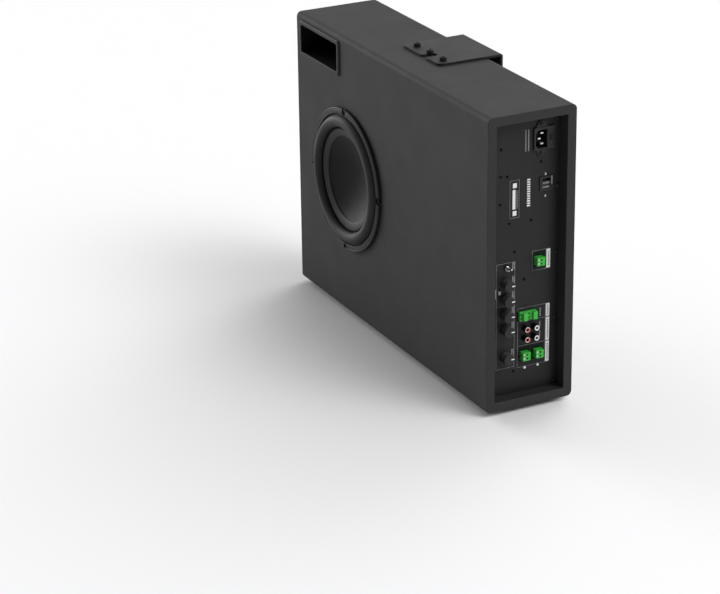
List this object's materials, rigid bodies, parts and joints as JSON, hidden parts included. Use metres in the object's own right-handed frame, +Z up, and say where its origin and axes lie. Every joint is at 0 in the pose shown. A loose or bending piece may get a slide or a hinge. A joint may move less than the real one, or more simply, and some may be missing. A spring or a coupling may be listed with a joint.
{
  "type": "powered subwoofer",
  "caption": "Slim upright powered subwoofer: round woofer and slot port on the wide face, recessed amplifier panel with knobs and sockets on one end, hanging bracket on top.",
  "frame": {"origin": "on the floor under the rubber feet, at the middle of the whole footprint, half way between the crest of the woofer surround and the back of the bracket", "axes": "+X along the cabinet towards the amplifier end, -Y out of the woofer face, +Z up"},
  "size_m": [0.54, 0.1564, 0.4145],
  "materials": {
    "board_paint": "satin charcoal paint on fibreboard",
    "panel_paint": "satin black powder coat",
    "steel_black": "black powder coat",
    "steel_bright": "plated steel",
    "aluminium": "plain extrusion",
    "ferrite": "sintered ferrite, matt",
    "copper": "enamelled copper wire",
    "rubber": "satin black rubber",
    "cone": "matt moulded cone",
    "cloth": "resin-treated cloth",
    "plastic_black": "black moulded plastic",
    "plastic_grey": "dark grey moulded plastic",
    "plastic_green": "green moulded plastic",
    "circuit_board": "green solder mask"
  },
  "bodies": {
    "cabinet": {"amplifier_bay_divider": "board_paint", "amplifier_mounting_frame": "board_paint", "amplifier_panel": "panel_paint", "back_panel": "board_paint", "bottom_panel": "board_paint", "bracket_screw_1": "steel_black", "bracket_screw_2": "steel_black", "bracket_screw_3": "steel_black", "control_board": "circuit_board", "foot_1": "rubber", "foot_2": "rubber", "foot_3": "rubber", "foot_4": "rubber", "front_baffle": "board_paint", "hanging_bracket": "steel_black", "heatsink": "aluminium", "input_board": "circuit_board", "left_end_panel": "board_paint", "magnet": "ferrite", "magnet_front_plate": "steel_bright", "magnet_yoke": "steel_bright", "mains_inlet": "plastic_black", "mains_pin_earth": "steel_bright", "mains_pin_live": "steel_bright", "mains_pin_neutral": "steel_bright", "mains_transformer": "copper", "port_duct": "plastic_black", "power_board": "circuit_board", "rca_jack_1": "steel_bright", "rca_jack_2": "steel_bright", "rca_jack_3": "steel_bright", "rca_jack_4": "steel_bright", "reservoir_capacitor_1": "plastic_black", "reservoir_capacitor_2": "plastic_black", "spider": "cloth", "surround": "rubber", "toggle_bushing": "steel_bright", "top_panel": "board_paint", "voltage_selector_body": "plastic_black", "woofer_frame": "steel_black", "woofer_gasket": "rubber", "woofer_screw_1": "steel_black", "woofer_screw_2": "steel_black", "woofer_screw_3": "steel_black", "woofer_screw_4": "steel_black"},
    "cone": {"cone": "cone", "voice_coil": "copper"},
    "knob_1": {"knob_1": "plastic_black"},
    "knob_2": {"knob_2": "plastic_black"},
    "knob_3": {"knob_3": "plastic_black"},
    "knob_4": {"knob_4": "plastic_black"},
    "knob_5": {"knob_5": "plastic_black"},
    "toggle": {"toggle_lever": "steel_bright"},
    "phase_slider": {"phase_slider": "plastic_grey"},
    "voltage_slider": {"voltage_selector_slider": "plastic_grey"},
    "fuse_drawer": {"fuse_drawer": "plastic_black"},
    "trigger_plug": {"trigger_plug": "plastic_green"},
    "speaker_plug": {"speaker_plug": "plastic_green"},
    "line_plug_1": {"line_plug_1": "plastic_green"},
    "line_plug_2": {"line_plug_2": "plastic_green"}
  },
  "joints": [
    {"name": "cone_travel", "type": "slide", "parent": "cabinet", "child": "cone", "axis": [0, -1, 0], "range_m": [-0.006, 0.006], "stiffness_N_per_m": 1500},
    {"name": "knob_1_turn", "type": "hinge", "parent": "cabinet", "child": "knob_1", "pos_m": [0.251, -0.02975, 0.1735], "axis": [1, 0, 0], "range_deg": [-150, 150]},
    {"name": "knob_2_turn", "type": "hinge", "parent": "cabinet", "child": "knob_2", "pos_m": [0.251, -0.02975, 0.152], "axis": [1, 0, 0], "range_deg": [-150, 150]},
    {"name": "knob_3_turn", "type": "hinge", "parent": "cabinet", "child": "knob_3", "pos_m": [0.251, -0.02975, 0.131], "axis": [1, 0, 0], "range_deg": [-150, 150]},
    {"name": "knob_4_turn", "type": "hinge", "parent": "cabinet", "child": "knob_4", "pos_m": [0.251, -0.02975, 0.11], "axis": [1, 0, 0], "range_deg": [-150, 150]},
    {"name": "knob_5_turn", "type": "hinge", "parent": "cabinet", "child": "knob_5", "pos_m": [0.251, -0.02975, 0.072], "axis": [1, 0, 0], "range_deg": [-150, 150]},
    {"name": "toggle_throw", "type": "hinge", "parent": "cabinet", "child": "toggle", "pos_m": [0.2532, -0.02815, 0.1945], "axis": [0, 1, 0], "range_deg": [0, 24]},
    {"name": "phase_slide", "type": "slide", "parent": "cabinet", "child": "phase_slider", "axis": [0, 0, 1], "range_m": [0, 0.003]},
    {"name": "voltage_slide", "type": "slide", "parent": "cabinet", "child": "voltage_slider", "axis": [0, 0, 1], "range_m": [0, 0.0044]},
    {"name": "fuse_drawer_pull", "type": "slide", "parent": "cabinet", "child": "fuse_drawer", "axis": [1, 0, 0], "range_m": [0, 0.015]},
    {"name": "trigger_plug_pull", "type": "slide", "parent": "cabinet", "child": "trigger_plug", "axis": [1, 0, 0], "range_m": [0, 0.012]},
    {"name": "speaker_plug_pull", "type": "slide", "parent": "cabinet", "child": "speaker_plug", "axis": [1, 0, 0], "range_m": [0, 0.012]},
    {"name": "line_plug_1_pull", "type": "slide", "parent": "cabinet", "child": "line_plug_1", "axis": [1, 0, 0], "range_m": [0, 0.012]},
    {"name": "line_plug_2_pull", "type": "slide", "parent": "cabinet", "child": "line_plug_2", "axis": [1, 0, 0], "range_m": [0, 0.012]}
  ]
}
